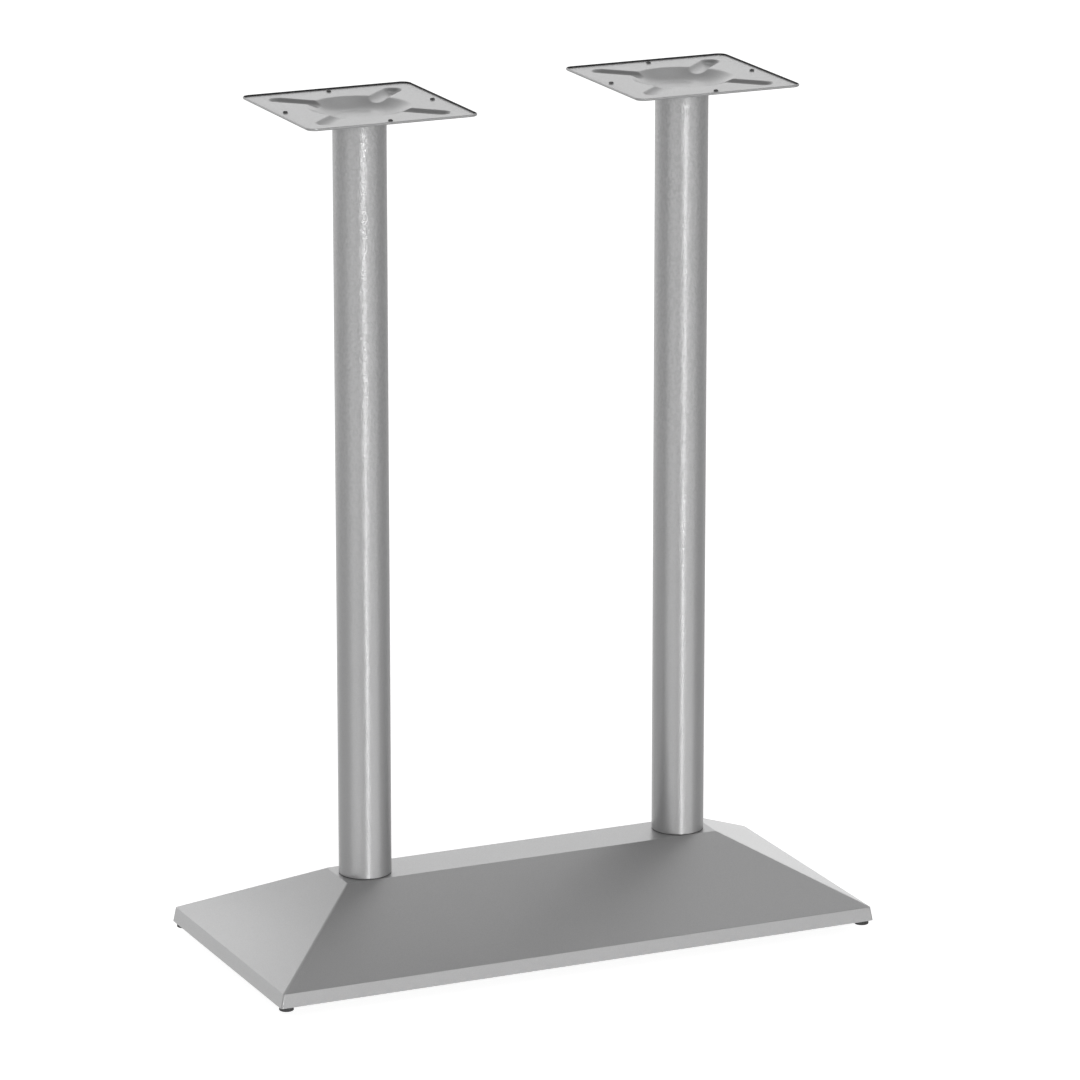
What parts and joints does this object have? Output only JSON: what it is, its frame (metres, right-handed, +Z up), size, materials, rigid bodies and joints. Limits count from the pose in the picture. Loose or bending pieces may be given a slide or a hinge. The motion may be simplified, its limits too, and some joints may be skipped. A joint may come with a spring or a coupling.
{
  "type": "twin-column table base",
  "caption": "Bar-height pedestal base for a long narrow table: hipped rectangular foot on levelling feet, two round columns, and a square stamped top plate on each to screw a table top to.",
  "frame": {"origin": "on the floor, under the middle of the base, between the four feet", "axes": "+Z up; +X along the base's long side, towards the right column seen from the front; +Y towards the back"},
  "size_m": [0.831, 0.3752, 1.106],
  "materials": {
    "cover_paint": "satin silver-grey powder coat",
    "column_paint": "satin silver-grey powder coat with a fine texture",
    "plate_paint": "satin silver-grey powder coat",
    "cast_iron": "black primed sand casting",
    "zinc_steel": "bright zinc plate",
    "foot_plastic": "moulded, matt",
    "gasket_rubber": "matt"
  },
  "bodies": {
    "base": {"base_cover": "cover_paint", "ballast_casting": "cast_iron", "column_tube_left": "column_paint", "column_tube_right": "column_paint", "column_disc_left": "zinc_steel", "column_disc_right": "zinc_steel", "column_gasket_left": "gasket_rubber", "column_gasket_right": "gasket_rubber", "top_plate_left": "plate_paint", "top_plate_right": "plate_paint", "plate_welds": "column_paint", "column_bolts": "zinc_steel", "column_washers": "zinc_steel", "column_lock_washers": "zinc_steel", "locating_pins": "zinc_steel", "cover_brackets": "zinc_steel", "bracket_nuts": "zinc_steel", "cover_screws": "zinc_steel"},
    "pad_front_left": {"foot_pad_front_left": "foot_plastic"},
    "stud_front_left": {"foot_stud_front_left": "zinc_steel"},
    "pad_front_right": {"foot_pad_front_right": "foot_plastic"},
    "stud_front_right": {"foot_stud_front_right": "zinc_steel"},
    "pad_back_left": {"foot_pad_back_left": "foot_plastic"},
    "stud_back_left": {"foot_stud_back_left": "zinc_steel"},
    "pad_back_right": {"foot_pad_back_right": "foot_plastic"},
    "stud_back_right": {"foot_stud_back_right": "zinc_steel"}
  },
  "joints": [
    {"name": "foot_slide_front_left", "type": "slide", "parent": "base", "child": "pad_front_left", "axis": [0, 0, -1], "range_m": [0, 0.01]},
    {"name": "foot_screw_front_left", "type": "hinge", "parent": "pad_front_left", "child": "stud_front_left", "pos_m": [-0.404, -0.1761, 0], "axis": [0, 0, -1], "range_deg": [0, 3600]},
    {"name": "foot_slide_front_right", "type": "slide", "parent": "base", "child": "pad_front_right", "axis": [0, 0, -1], "range_m": [0, 0.01]},
    {"name": "foot_screw_front_right", "type": "hinge", "parent": "pad_front_right", "child": "stud_front_right", "pos_m": [0.404, -0.1761, 0], "axis": [0, 0, -1], "range_deg": [0, 3600]},
    {"name": "foot_slide_back_left", "type": "slide", "parent": "base", "child": "pad_back_left", "axis": [0, 0, -1], "range_m": [0, 0.01]},
    {"name": "foot_screw_back_left", "type": "hinge", "parent": "pad_back_left", "child": "stud_back_left", "pos_m": [-0.404, 0.1761, 0], "axis": [0, 0, -1], "range_deg": [0, 3600]},
    {"name": "foot_slide_back_right", "type": "slide", "parent": "base", "child": "pad_back_right", "axis": [0, 0, -1], "range_m": [0, 0.01]},
    {"name": "foot_screw_back_right", "type": "hinge", "parent": "pad_back_right", "child": "stud_back_right", "pos_m": [0.404, 0.1761, 0], "axis": [0, 0, -1], "range_deg": [0, 3600]}
  ],
  "couplings": [
    {"joint": "foot_screw_front_left", "follows": "foot_slide_front_left", "rad_per_m": 6283.2},
    {"joint": "foot_screw_front_right", "follows": "foot_slide_front_right", "rad_per_m": 6283.2},
    {"joint": "foot_screw_back_left", "follows": "foot_slide_back_left", "rad_per_m": 6283.2},
    {"joint": "foot_screw_back_right", "follows": "foot_slide_back_right", "rad_per_m": 6283.2}
  ]
}
